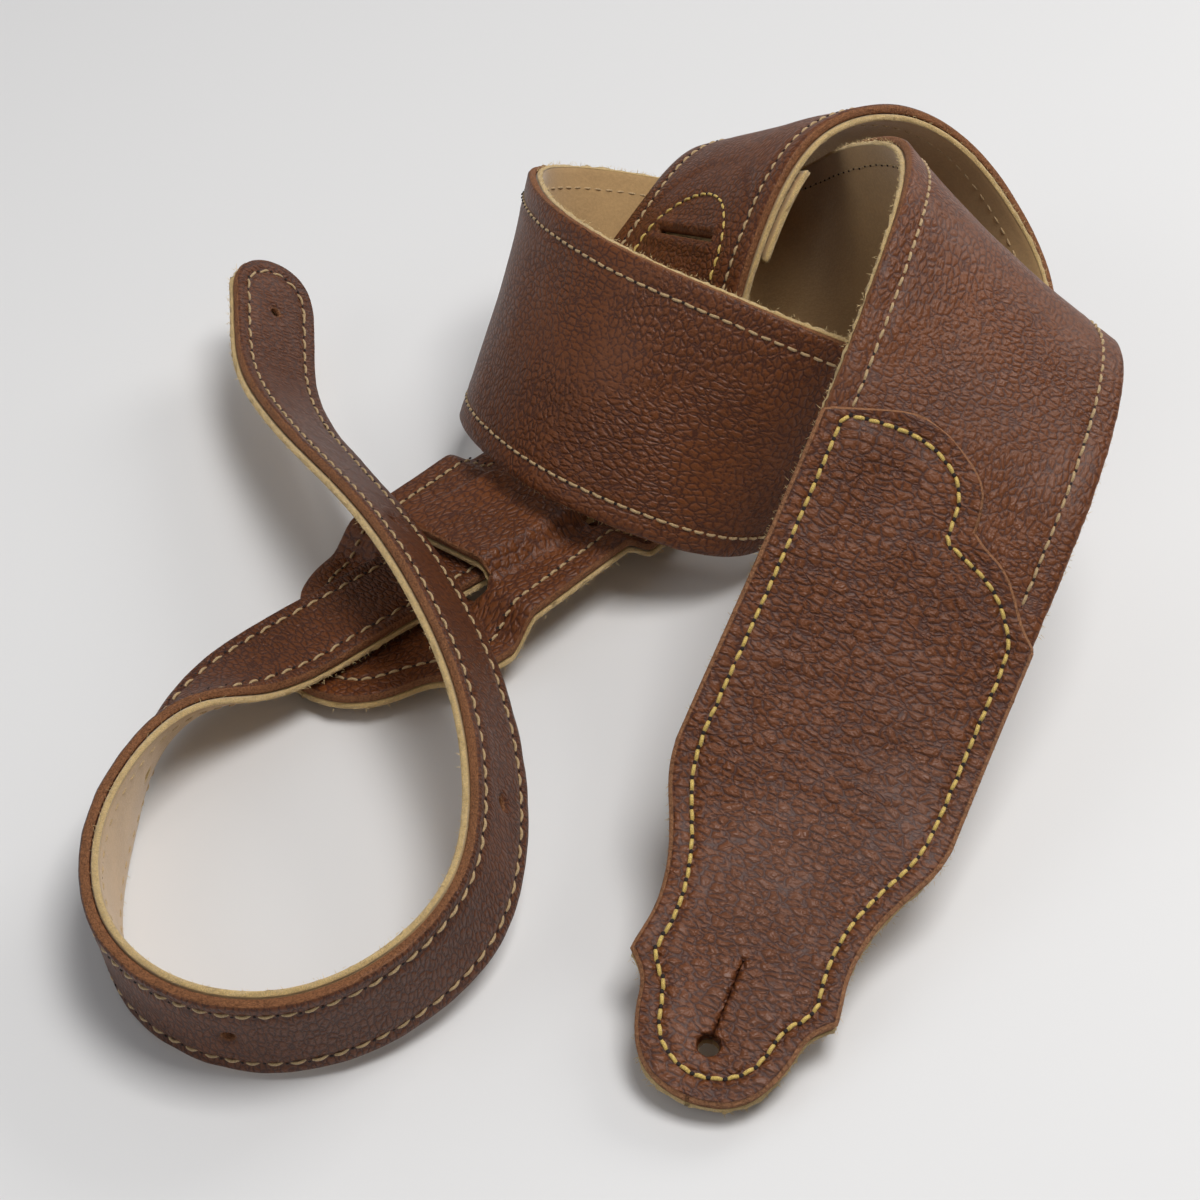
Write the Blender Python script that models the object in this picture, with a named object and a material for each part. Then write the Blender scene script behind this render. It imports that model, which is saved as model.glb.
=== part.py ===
"""Leather guitar strap, lying loosely coiled on a flat surface.

A two-layer wide strap (grained face leather sewn to a suede backing) with a scalloped pin end, and a narrow
two-layer adjuster that is threaded through two crosswise slots in the strap's rear end. Both are laid as
ribbons: a few hand-placed stations give the middle of the ribbon and the direction of its width, and every
layer, overlay and thread is a slab at its own height above or below that ribbon. Units below are millimetres.
"""
import bpy
import bmesh
import numpy as np
from mathutils import Vector

MM = 0.001

# --- driving sizes, millimetres ---------------------------------------------------------------------------
STRAP_WIDTH = 63.5
ADJUSTER_WIDTH = 25.0
FACE_LOW, FACE_HIGH = -0.20, 2.25          # grained face leather, heights above the ribbon's middle
BACK_LOW, BACK_HIGH = -2.25, -0.50         # suede backing
GAP = 0.30                                 # free space kept between pieces that touch
THREAD_GAP = 0.22                          # the same under a thread
OVERLAY_THICKNESS = 1.4
THREAD_WIDTH, THREAD_THICKNESS = 0.9, 0.5
KEEPER_THICKNESS = 1.9
PIN_HOLE = 4.8                             # diameter
SLIT_LENGTH, SLIT_WIDTH = 19.0, 0.8
ROW_STEP = 13.0                            # ribbon stations after resampling
FINE_STEPS, SLOPE_STEP = 4001, 0.5         # points to measure a ribbon with, and half the span of a slope

SLOT_ROWS = (753.0, 840.0, 873.0)          # crosswise slots, measured along the strap from the pin end
ADJUSTER_CROSSING, ADJUSTER_SKEW = 2.93, 0.1315   # where the adjuster crosses the second slot, and its slope
SLOT_GAP = 3.0                             # length of a slot's opening along the strap
SLOT_HALF = 16.5                           # half the width of the two slots the adjuster runs through
SMALL_SLOT_HALF = 13.5                     # half the width of the third slot
WEAVE_FLAT = 13.2                          # half the width that lies flat over or under the adjuster
WEAVE_UP, WEAVE_DOWN = 5.8, 6.6            # how far the leather rises and dips round the adjuster
WEAVE_FADE = 10.0                          # distance from a slot at which the whole width has dipped
WEAVE_START, WEAVE_RAMP = 785.0, 20.0      # the dip begins here, where the strap comes down from the coil
KEEPER_ROWS = (732.0, 754.0)
SEAM_PLACE = 26.0                          # border seam, from the strap's middle
BORDER_LEFT, BORDER_RIGHT = 162.0, 136.0   # where the border seam starts on either side, beyond the overlay
OVERLAY_SEAM_PLACE = 27.3                  # straight part of the overlay seam, from the strap's middle
ADJUSTER_SEAM_PLACE, ADJUSTER_SEAM_END = 9.0, 14.0
ADJUSTER_CORE = 0.72                       # share of the adjuster's width up to its two seams
ADJUSTER_TIP, ADJUSTER_TIP_CORE = 55.0, 0.66    # near its tip this share leaves the seams outside
ARCH_CENTRE, ARCH_HALF, ARCH_RADIUS = 758.0, 19.0, 17.0    # seam round the third slot
ARCH_FEET = (764.0, 774.0)                 # its two straight legs
EDGE_SHARE = 0.06                          # least part of the half width between two columns of points
LEAST_ROW, LEAST_STATION = 0.2, 1.0        # least distance between two rows, and from a row to a station
ADJUSTER_HOLES = (18.0, 131.0, 221.0, 311.0, 401.0)
FRONT_HOLE = 12.0
SLIT_OVERLAP = 1.0                         # the slit starts this far inside the pin hole
CUT_DEPTH = 16.0

# The object's bounding box is centred on the origin and stands on z = 0.
LAY_SHIFT = (-4.94, 12.80, 0.38)

# --- how the strap lies: x, y, z of its middle, then azimuth and elevation of its width, degrees -----------
STRAP_LAY = (
    (18, -159, 4, 157, 7), (29.5, -132, 12, 157, 7), (41, -105, 20, 158, 8), (57, -73, 38, 163, 14),
    (73, -45, 61, 165, 15), (87, -17, 82, 168, 20), (95, 14, 90, 168, 34), (93, 38, 81, 160, 46),
    (84, 54, 69, 143, 52), (70, 70, 52, 115, 50), (54, 87, 34, 96, 42), (32, 97, 24, 90, 36),
    (6, 101, 25, 88, 44), (-18, 92, 32, 73, 56), (-25, 69, 42, 51, 60), (-17, 43, 50, 47, 58),
    (-2, 22, 54, 47, 57), (20, 10, 51, 44, 58), (44, 9, 42, 25, 62), (62, 19, 33, -2, 57),
    (75, 32, 26, -16, 46), (87, 51, 22, -22, 36), (95, 74, 24, -23, 39), (94, 95, 33, -33, 48),
    (83, 110.5, 49, -48, 50), (62, 114.5, 64.5, -60, 42), (42, 103, 70, -62, 32), (26, 83, 59, -58, 26),
    (15, 67, 40, -50, 20), (6, 52.5, 20.5, -45, 11), (-2, 41.5, 12.9, -42, 7), (-10, 32, 11.9, -41.5, 6),
    (-23.4, 16.9, 11.9, -41.5, 6),
    (-36.8, 1.8, 11.9, -41.5, 6), (-50.2, -13.4, 11.9, -41.5, 6), (-63.6, -28.5, 11.9, -41.5, 6),
    (-72, -38, 11.9, -41.5, 6),
)
ADJUSTER_LAY = (
    (-92, 112, 24, -165, 35), (-90, 93, 20, -165, 37), (-87, 70, 17, -165, 40), (-80, 50, 19, -164, 42),
    (-69, 27, 24, -162, 43), (-57, 4, 29, -163, 46), (-45, -20, 32, -164, 50), (-34, -45, 31, -166, 54),
    (-26, -70, 27, -168, 60), (-23, -96, 22, -168, 66), (-27, -120, 19, -160, 72), (-41, -139, 17, -146, 75),
    (-62, -149, 15, -146, 77), (-84, -146, 14, -155, 79), (-102, -130, 13.5, -162, 82),
    (-109, -106, 13.5, -172, 86), (-107, -82, 14, -40, 82), (-100, -60, 14, -38, 56), (-88, -42.5, 11.8, -47, 20),
    (-76, -31.6, 11.2, -49, 6), (-62, -19.4, 11.4, -49, 6), (-46, -5.5, 11.7, -49, 6), (-30, 8.4, 12.0, -49, 6),
    (-14, 22.3, 12.25, -49, 6), (-4, 31, 12.45, -49, 6),
)

# --- outlines: distance from an end, half width ------------------------------------------------------------
FRONT_OUTLINE = ((0, 1.5), (1.5, 8), (4, 11.5), (8, 14.3), (14, 16.5), (20, 17.5), (23.5, 19.5), (26.5, 22.6),
                 (30, 22.2), (36, 21.3), (42, 21.5), (50, 23), (58, 26), (65, 29.3), (70, 31), (75, 31.75))
REAR_OUTLINE = ((0, 1.5), (2, 10), (6, 15.5), (11, 19), (17, 21), (21, 23), (24, 26.5), (28, 29), (34, 31),
                (40, 31.75))
TIP_OUTLINE = ((0, 1.0), (1, 5), (3, 8.3), (6, 10.8), (10, 12.2), (14, 12.5))
FRONT_SEAM = ((4.6, 0), (5.4, 4), (7.5, 8), (11, 10.8), (16, 12.4), (21, 13.4), (25, 17), (28, 18.2), (34, 17.2),
              (42, 17.2), (50, 18.7), (58, 21.5), (66, 25), (72, 26.7), (80, 27.3))
REAR_SEAM = ((6, 0), (7, 6), (9.5, 10.5), (14, 13.8), (20, 16.3), (25, 20), (30, 23.5), (38, 26))
TIP_SEAM = ((3.6, 0), (4.4, 3.5), (6.5, 6.5), (9.5, 8.4), (14, 9))
# The overlay's inner contour, as distance along the strap and place across it: near edge, notch, crown, far edge.
OVERLAY_RIGHT = ((125, -31.75), (129, -27), (134, -23.5), (139, -19), (141.5, -13), (144, -9.5), (150, -9),
                 (155, -7), (159, -1.5), (162, 4), (163.5, 10))
OVERLAY_LEFT = ((157, 31.75), (159, 26.5), (161, 21), (163, 15), (163.5, 12))
OVERLAY_CROWN = ((153, OVERLAY_SEAM_PLACE), (157, 24), (159, 17), (159.2, 10), (157, 3), (153, -2.5),
                 (147, -4.5), (140.5, -4.5), (138, -9), (136.5, -14), (133, -20), (127, -25),
                 (122, -OVERLAY_SEAM_PLACE))


def unit(rows):
    return rows / np.linalg.norm(rows, axis=-1, keepdims=True)


def spline_through(knots, rows, at):
    """Natural cubic spline through rows of values, read at the given parameters."""
    count, step = len(knots), np.diff(knots)
    matrix, right = np.eye(count), np.zeros_like(rows)
    for i in range(1, count - 1):
        matrix[i, i - 1:i + 2] = step[i - 1], 2 * (step[i - 1] + step[i]), step[i]
        right[i] = 6 * ((rows[i + 1] - rows[i]) / step[i] - (rows[i] - rows[i - 1]) / step[i - 1])
    bend = np.linalg.solve(matrix, right)
    i = np.clip(np.searchsorted(knots, at) - 1, 0, count - 2)
    span, a = step[i][:, None], ((knots[i + 1] - at) / step[i])[:, None]
    b = 1 - a
    return (a * rows[i] + b * rows[i + 1]
            + ((a ** 3 - a) * bend[i] + (b ** 3 - b) * bend[i + 1]) * span ** 2 / 6)


class Ribbon:
    """A laid ribbon: stations at even distances, with the middle, the width direction and the face side."""

    def __init__(self, stations, width, step, face_side):
        rows = np.array(stations, dtype=float)
        azimuth, elevation = np.radians(rows[:, 3]), np.radians(rows[:, 4])
        across = np.stack([np.cos(azimuth) * np.cos(elevation), np.sin(azimuth) * np.cos(elevation),
                           np.sin(elevation)], axis=1)
        data = np.hstack([rows[:, :3] + np.array(LAY_SHIFT), across])
        knots = np.concatenate([[0], np.cumsum(np.linalg.norm(np.diff(rows[:, :3], axis=0), axis=1))])
        fine = np.linspace(0, knots[-1], FINE_STEPS)
        middle = spline_through(knots, data, fine)[:, :3]
        run = np.concatenate([[0], np.cumsum(np.linalg.norm(np.diff(middle, axis=0), axis=1))])
        self.width, self.length = width, float(run[-1])
        self.at = np.linspace(0, self.length, int(round(self.length / step)) + 1)
        near = np.interp(self.at, run, fine)
        data = spline_through(knots, data, near)
        ahead = spline_through(knots, rows[:, :3], np.minimum(near + SLOPE_STEP, knots[-1]))
        behind = spline_through(knots, rows[:, :3], np.maximum(near - SLOPE_STEP, 0))
        along = unit(ahead - behind)
        self.middle = data[:, :3]
        self.across = unit(data[:, 3:] - (data[:, 3:] * along).sum(1)[:, None] * along)
        self.face = np.cross(along, self.across) * face_side

    def place(self, s, v, height):
        """The point s along the ribbon, v across it and height above its middle."""
        parts = [np.interp(s, self.at, rows[:, k]) for rows in (self.middle, self.across, self.face)
                 for k in range(3)]
        middle, across, face = np.array(parts[:3]), np.array(parts[3:6]), np.array(parts[6:])
        height += weave_lift(s, v) if self.width == STRAP_WIDTH else 0.0
        return middle + across * v + face * height


def adjuster_line(s):
    """Where the adjuster's middle crosses the strap's rear end: it runs a little askew through the slots."""
    return ADJUSTER_CROSSING - ADJUSTER_SKEW * (s - SLOT_ROWS[1])


def weave_lift(s, v):
    """The strap bridges over the adjuster between the two rear slots and dips under it outside them."""
    first, last = SLOT_ROWS[1:]
    mouth = float(np.interp(abs(v - adjuster_line(s)), (WEAVE_FLAT, SLOT_HALF), (1, 0)))
    if first < s < last:
        return WEAVE_UP * mouth
    away = min(max(first - s, s - last) / WEAVE_FADE, 1.0)
    return -WEAVE_DOWN * (mouth + (1 - mouth) * away) * float(np.clip((s - WEAVE_START) / WEAVE_RAMP, 0, 1))


def new_object(name, bm, colour, roughness):
    mesh = bpy.data.meshes.new(name)
    bm.to_mesh(mesh)
    bm.free()
    piece = bpy.data.objects.new(name, mesh)
    parts.objects.link(piece)
    material = bpy.data.materials.new(name)
    material.use_nodes = True
    surface = material.node_tree.nodes["Principled BSDF"]
    surface.inputs["Base Color"].default_value = (*colour, 1)
    surface.inputs["Roughness"].default_value = roughness
    mesh.materials.append(material)
    return piece


def slab(name, ribbon, grid, low, high, finish, openings=()):
    """A closed sheet over a grid of (s, v) points, between two heights; cells named in openings are left out."""
    rows, columns = len(grid), len(grid[0])
    kept = {(i, j) for i in range(rows - 1) for j in range(columns - 1)} - set(openings)
    bm = bmesh.new()
    layers = [[[bm.verts.new(Vector(ribbon.place(s, v, height)) * MM) for s, v in row] for row in grid]
              for height in (low, high)]
    bottom, top = layers
    for i, j in sorted(kept):
        corners = [(i, j), (i + 1, j), (i + 1, j + 1), (i, j + 1)]
        for a, b, c in ((0, 1, 2), (0, 2, 3)):
            ids = [corners[a], corners[b], corners[c]]
            bm.faces.new([top[r][k] for r, k in ids])
            bm.faces.new([bottom[r][k] for r, k in reversed(ids)])
        for (start, end), side in zip(zip(corners, corners[1:] + corners[:1]),
                                      ((i, j - 1), (i + 1, j), (i, j + 1), (i - 1, j))):
            if side not in kept:
                bm.faces.new([bottom[start[0]][start[1]], bottom[end[0]][end[1]], top[end[0]][end[1]]])
                bm.faces.new([bottom[start[0]][start[1]], top[end[0]][end[1]], top[start[0]][start[1]]])
    loose = [vert for vert in bm.verts if not vert.link_faces]
    bmesh.ops.delete(bm, geom=loose, context="VERTS")
    bmesh.ops.recalc_face_normals(bm, faces=bm.faces[:])
    return new_object(name, bm, *finish)


def outline_width(table, distance, full):
    places, widths = zip(*table)
    return float(np.interp(distance, places, widths)) if distance < places[-1] else full


def strap_half_width(ribbon, s):
    return min(outline_width(FRONT_OUTLINE, s, STRAP_WIDTH / 2),
               outline_width(REAR_OUTLINE, ribbon.length - s, STRAP_WIDTH / 2))


def row_places(ribbon, extra, start=0.0, end=None):
    """Distances of a sheet's rows: every ribbon station plus the extra ones, none closer than a millimetre."""
    end = ribbon.length if end is None else end
    wanted = sorted([s for s in extra if start <= s <= end] + [start, end])
    places = []
    for s in wanted:
        if not places or s - places[-1] > LEAST_ROW:
            places.append(s)
    for s in ribbon.at:
        if start < s < end and min(abs(s - p) for p in places) > LEAST_STATION:
            places.append(float(s))
    return sorted(places)


def slot_edges():
    return [s + side * SLOT_GAP / 2 for s in SLOT_ROWS for side in (-1, 1)]


def weave_rows():
    """Rows where the dip round the adjuster starts, ends or turns."""
    return [WEAVE_START, WEAVE_START + WEAVE_RAMP, SLOT_ROWS[1] - WEAVE_FADE, SLOT_ROWS[2] + WEAVE_FADE]


def strap_grid(ribbon):
    extra = [d for d, _ in FRONT_OUTLINE] + [ribbon.length - d for d, _ in REAR_OUTLINE] + slot_edges()
    grid = []
    for s in row_places(ribbon, extra + weave_rows()):
        half = strap_half_width(ribbon, s)
        middle, inner, outer = 0.0, SMALL_SLOT_HALF, SLOT_HALF
        if s > WEAVE_START:
            middle, inner = adjuster_line(s), WEAVE_FLAT
        wanted = (-half, -SEAM_PLACE, middle - outer, middle - inner, middle + inner, middle + outer,
                  SEAM_PLACE, half)
        last = len(wanted) - 1
        grid.append([(s, float(np.clip(v, half * (EDGE_SHARE * k - 1), half * (1 - EDGE_SHARE * (last - k)))))
                     for k, v in enumerate(wanted)])
    return grid


def slot_cells(grid):
    cells = []
    for i in range(len(grid) - 1):
        middle = (grid[i][0][0] + grid[i + 1][0][0]) / 2
        if any(abs(middle - s) < SLOT_GAP / 2 for s in SLOT_ROWS):
            cells += [(i, 3)] if abs(middle - SLOT_ROWS[0]) < SLOT_GAP else [(i, 2), (i, 3), (i, 4)]
    return cells


def thread(name, ribbon, path, low, high, finish):
    """A row of stitching as one flat thread that follows a path of (s, v) points."""
    points = np.array(path, dtype=float)
    along = unit(np.gradient(points, axis=0))
    side = np.stack([-along[:, 1], along[:, 0]], axis=1) * THREAD_WIDTH / 2
    grid = [[tuple(p - q), tuple(p + q)] for p, q in zip(points, side)]
    return slab(name, ribbon, grid, low, high, finish)


def seam_run(ribbon, v, start, end):
    """Points of a straight seam at place v, from start to end along the ribbon."""
    low, high = min(start, end), max(start, end)
    extra = slot_edges() + weave_rows() if ribbon.width == STRAP_WIDTH else []
    return [(s, v) for s in sorted(row_places(ribbon, extra, low, high), reverse=start > end)]


def rounded_end(table, origin, direction, first_side):
    """A seam round an end, from one side to the other."""
    half = [(origin + direction * d, v) for d, v in reversed(table)]
    return [(s, v * first_side) for s, v in half] + [(s, -v * first_side) for s, v in reversed(half[:-1])]


def cut(piece, *tools):
    for tool in tools:
        modifier = piece.modifiers.new("cut", "BOOLEAN")
        modifier.operation = "DIFFERENCE"
        modifier.solver = "EXACT"
        modifier.object = tool


def hole_cutter(name, ribbon, places):
    """Upright pegs through the ribbon."""
    bm = bmesh.new()
    for s in places:
        made = bmesh.ops.create_cone(bm, cap_ends=True, segments=12, radius1=PIN_HOLE / 2 * MM,
                                     radius2=PIN_HOLE / 2 * MM, depth=CUT_DEPTH * MM)["verts"]
        turn_to(bm, made, ribbon, s)
    return new_cutter(name, bm)


def slit_cutter(name, ribbon, start):
    """A thin upright blade that opens a slit along the ribbon."""
    bm = bmesh.new()
    made = bmesh.ops.create_cube(bm, size=1.0)["verts"]
    bmesh.ops.scale(bm, verts=made, vec=(SLIT_LENGTH * MM, SLIT_WIDTH * MM, CUT_DEPTH * MM))
    turn_to(bm, made, ribbon, start + SLIT_LENGTH / 2)
    return new_cutter(name, bm)


def new_cutter(name, bm):
    bmesh.ops.recalc_face_normals(bm, faces=bm.faces[:])
    piece = new_object(name, bm, (0.5, 0.5, 0.5), 0.5)
    parts.objects.unlink(piece)
    cutters.objects.link(piece)
    piece.hide_render, piece.display_type = True, "WIRE"
    return piece


def turn_to(bm, verts, ribbon, s):
    """Moves verts from the origin to the ribbon at s, with x along it, y across it and z out of its face."""
    here, ahead = ribbon.place(s, 0, 0), ribbon.place(s + 1, 0, 0)
    across = ribbon.place(s, 1, 0) - here
    face = ribbon.place(s, 0, 1) - here
    along = unit(ahead - here)
    for vert in verts:
        x, y, z = vert.co
        vert.co = Vector(here * MM + along * x + across * y + face * z)


GRAIN = ((0.105, 0.036, 0.019), 0.5)
SUEDE = ((0.62, 0.40, 0.20), 0.95)
BORDER_THREAD = ((0.60, 0.42, 0.20), 0.6)
GOLD_THREAD = ((0.72, 0.50, 0.12), 0.6)


def build_strap(strap):
    grid = strap_grid(strap)
    cells = slot_cells(grid)
    tools = (hole_cutter("front_pin_hole_cutter", strap, [FRONT_HOLE]),
             slit_cutter("front_slit_cutter", strap, FRONT_HOLE + PIN_HOLE / 2 - SLIT_OVERLAP))
    for name, low, high, finish in (("strap_face", FACE_LOW, FACE_HIGH, GRAIN),
                                    ("strap_backing", BACK_LOW, BACK_HIGH, SUEDE)):
        cut(slab(name, strap, grid, low, high, finish, cells), *tools)

    rear = strap.length - REAR_SEAM[-1][0]
    border = (seam_run(strap, SEAM_PLACE, BORDER_LEFT, rear)[:-1] + rounded_end(REAR_SEAM, strap.length, -1, 1)
              + seam_run(strap, -SEAM_PLACE, rear, BORDER_RIGHT)[1:])
    on_face, on_back = FACE_HIGH + THREAD_GAP, BACK_LOW - THREAD_GAP
    thread("border_needle_thread", strap, border, on_face, on_face + THREAD_THICKNESS, BORDER_THREAD)
    thread("border_bobbin_thread", strap, border, on_back - THREAD_THICKNESS, on_back, BORDER_THREAD)
    return tools


def overlay_span(s):
    left = outline_width(FRONT_OUTLINE, s, STRAP_WIDTH / 2)
    right = -left
    if s >= OVERLAY_RIGHT[0][0]:
        right = float(np.interp(s, *zip(*OVERLAY_RIGHT)))
    if s >= OVERLAY_LEFT[0][0]:
        left = float(np.interp(s, *zip(*OVERLAY_LEFT)))
    return right, left


def build_overlay(strap, tools):
    extra = [d for d, _ in FRONT_OUTLINE + OVERLAY_RIGHT + OVERLAY_LEFT]
    grid = []
    for s in row_places(strap, extra, end=OVERLAY_RIGHT[-1][0]):
        right, left = overlay_span(s)
        grid.append([(s, right + (left - right) * k / 5) for k in range(6)])
    low = FACE_HIGH + GAP
    top = low + OVERLAY_THICKNESS
    cut(slab("front_overlay", strap, grid, low, top, GRAIN), *tools)

    straight = FRONT_SEAM[-1][0]
    path = (rounded_end(FRONT_SEAM, 0, 1, -1)
            + seam_run(strap, OVERLAY_SEAM_PLACE, straight, OVERLAY_CROWN[0][0])[1:-1] + list(OVERLAY_CROWN)
            + seam_run(strap, -OVERLAY_SEAM_PLACE, OVERLAY_CROWN[-1][0], straight + 2)[1:])
    thread("overlay_needle_thread", strap, path, top + THREAD_GAP, top + THREAD_GAP + THREAD_THICKNESS,
           GOLD_THREAD)
    on_back = BACK_LOW - THREAD_GAP
    thread("overlay_bobbin_thread", strap, path, on_back - THREAD_THICKNESS, on_back, GOLD_THREAD)


def build_keeper(strap):
    """A suede strip sewn across the strap's inner side beside the third slot, with the arch seam round the slot."""
    rows = row_places(strap, KEEPER_ROWS, *KEEPER_ROWS)
    half = STRAP_WIDTH / 2
    columns = (-half, -SEAM_PLACE, -SMALL_SLOT_HALF, SMALL_SLOT_HALF, SEAM_PLACE, half)
    grid = [[(s, v) for v in columns] for s in rows]
    high = BACK_LOW - THREAD_GAP - THREAD_THICKNESS - GAP
    slab("rear_keeper", strap, grid, high - KEEPER_THICKNESS, high, SUEDE)
    sweep = np.radians(np.linspace(0, 180, 13))
    round_slot = [(ARCH_CENTRE - ARCH_RADIUS * np.sin(a), ARCH_HALF * np.cos(a)) for a in sweep]
    arch = ([(foot, ARCH_HALF) for foot in reversed(ARCH_FEET)] + round_slot
            + [(foot, -ARCH_HALF) for foot in ARCH_FEET])
    low = FACE_HIGH + 2 * GAP
    thread("slot_arch_thread", strap, arch, low, low + THREAD_THICKNESS, BORDER_THREAD)


def build_adjuster(adjuster):
    half = ADJUSTER_WIDTH / 2
    extra = [d for d, _ in TIP_OUTLINE] + [adjuster.length - d for d, _ in TIP_OUTLINE]
    grid = []
    for s in row_places(adjuster, extra):
        width = min(outline_width(TIP_OUTLINE, s, half), outline_width(TIP_OUTLINE, adjuster.length - s, half))
        core = ADJUSTER_TIP_CORE if s < ADJUSTER_TIP else ADJUSTER_CORE
        grid.append([(s, width * share) for share in (-1, -core, core, 1)])
    peg = hole_cutter("adjuster_hole_cutter", adjuster, ADJUSTER_HOLES)
    for name, low, high, finish in (("adjuster_face", FACE_LOW, FACE_HIGH, GRAIN),
                                    ("adjuster_backing", BACK_LOW, BACK_HIGH, SUEDE)):
        cut(slab(name, adjuster, grid, low, high, finish), peg)
    far = adjuster.length
    near, side = ADJUSTER_SEAM_END, ADJUSTER_SEAM_PLACE
    path = (rounded_end(TIP_SEAM, 0, 1, -1) + seam_run(adjuster, side, near, far - near)[1:-1]
            + rounded_end(TIP_SEAM, far, -1, 1) + seam_run(adjuster, -side, far - near, near + 2)[1:])
    on_face, on_back = FACE_HIGH + THREAD_GAP, BACK_LOW - THREAD_GAP
    thread("adjuster_needle_thread", adjuster, path, on_face, on_face + THREAD_THICKNESS, BORDER_THREAD)
    thread("adjuster_bobbin_thread", adjuster, path, on_back - THREAD_THICKNESS, on_back, BORDER_THREAD)


for leftover in list(bpy.data.objects):
    bpy.data.objects.remove(leftover, do_unlink=True)
parts = bpy.data.collections.new("guitar_strap")
cutters = bpy.data.collections.new("cutters")
for collection in (parts, cutters):
    bpy.context.scene.collection.children.link(collection)

strap_ribbon = Ribbon(STRAP_LAY, STRAP_WIDTH, ROW_STEP, 1)
adjuster_ribbon = Ribbon(ADJUSTER_LAY, ADJUSTER_WIDTH, ROW_STEP, -1)
front_cutters = build_strap(strap_ribbon)
build_overlay(strap_ribbon, front_cutters)
build_keeper(strap_ribbon)
build_adjuster(adjuster_ribbon)
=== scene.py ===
"""Leather guitar strap: the looks of the laid strap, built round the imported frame.

The grained face leather and the suede lining of the wide strap and of the narrow adjuster are fine sheets
that follow the same laid ribbons as the frame. Every point of a sheet is first given as a place on the
flat strap (distance from an end, place across, height above the ribbon's middle, in millimetres) and
then laid.
"""
import math

import bpy
import numpy as np
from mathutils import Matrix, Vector, kdtree


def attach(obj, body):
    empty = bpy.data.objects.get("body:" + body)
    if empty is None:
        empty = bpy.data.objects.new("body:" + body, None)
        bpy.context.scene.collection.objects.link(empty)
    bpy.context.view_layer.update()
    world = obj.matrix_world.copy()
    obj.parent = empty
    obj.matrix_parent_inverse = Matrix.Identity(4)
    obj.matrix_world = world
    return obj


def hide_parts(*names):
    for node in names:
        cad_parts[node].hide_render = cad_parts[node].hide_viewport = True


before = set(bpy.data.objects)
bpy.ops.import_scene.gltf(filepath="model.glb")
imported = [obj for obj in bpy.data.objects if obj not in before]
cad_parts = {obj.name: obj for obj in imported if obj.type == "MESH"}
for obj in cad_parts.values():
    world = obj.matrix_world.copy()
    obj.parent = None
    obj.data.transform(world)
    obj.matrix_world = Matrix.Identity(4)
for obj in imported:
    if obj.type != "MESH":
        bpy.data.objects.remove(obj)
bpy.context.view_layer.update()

MM = 0.001

# --- sizes of the strap, in millimetres ------------------------------------------------------------------
STRAP_WIDTH = 63.5
ADJUSTER_WIDTH = 25.0
FACE_LOW, FACE_HIGH = -0.30, 2.25
BACK_LOW, BACK_HIGH = -2.25, -0.35
OVERLAY_LOW, OVERLAY_HIGH = 2.35, 3.95
KEEPER_LOW, KEEPER_HIGH = -5.2, -3.2
FRONT_HOLE, PIN_HOLE = 12.0, 2.6              # place along the strap and radius
SLIT = (14.2, 32.4)                           # from and to, along the strap
SLIT_NARROWED = 0.45                          # share that is left of the slit's grid width
ADJUSTER_HOLES, ADJUSTER_HOLE = (18.0, 131.0, 221.0, 311.0, 401.0), 1.5
SLOT_ROWS = (753.0, 840.0, 873.0)
SLOT_GAPS = (1.4, 3.0, 3.0)
SLOT_HALF, SMALL_SLOT_HALF = 16.5, 13.5
WEAVE_FLAT, WEAVE_UP, WEAVE_DOWN, WEAVE_FADE, WEAVE_START = 13.2, 5.8, 6.6, 10.0, 785.0
WEAVE_MOUTH = (WEAVE_FLAT - 0.4, SLOT_HALF + 2.4)   # where the lift starts to fade across, and where it ends
WEAVE_RAMP = 20.0
ADJUSTER_CROSSING, ADJUSTER_SKEW = 2.93, 0.1315
SEAM_PLACE, OVERLAY_SEAM_PLACE, ADJUSTER_SEAM_PLACE = 26.0, 27.3, 9.0
BORDER_LEFT, BORDER_RIGHT = 161.5, 135.0      # where the border seam starts, beyond the overlay
SEAM_TURN = 60.0                              # from the rear end to the border seam's last straight point
ARCH_ROW, ARCH_REACH, ARCH_HALF, ARCH_END = 758.0, 17.0, 19.0, 774.0
EMBOSS_ROW, EMBOSS_REACH, EMBOSS_HALF, EMBOSS_ENDS, EMBOSS_TURN = 752.0, 21.0, 24.5, (765.0, 790.0), 0.25
KEEPER_ROWS = (732.0, 754.0)
LAY_SHIFT = (-4.94, 12.80, 0.38)

# --- the sheets' grids, in millimetres -------------------------------------------------------------------
STRAP_STEP, ADJUSTER_STEP, OVERLAY_STEP, KEEPER_STEP = 1.35, 1.2, 0.95, 1.1
END_ROWS = (0.12, 0.3, 0.55, 0.9, 1.4, 2.0, 2.7)      # extra rows by their distance from a round end
OVERLAY_END_ROWS = (0.35, 0.8, 1.3, 1.9, 2.6, 3.4)
STRAP_CORE, ADJUSTER_CORE = 6.0, 4.0                  # columns this near the middle keep their place
HOLE_CELLS, ADJUSTER_HOLE_CELLS, SLIT_CELLS = 2.4, 1.2, 0.3    # half widths of the cells left out
SLIT_POINTS = 0.5                                     # half width that holds the slit's own points
OPENING_REACH = 4.0                                   # this near the pin hole and slit, walls stay upright
WALL_SHARES = (0.22, 0.5, 0.78)                       # levels between a sheet's two sides

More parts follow.
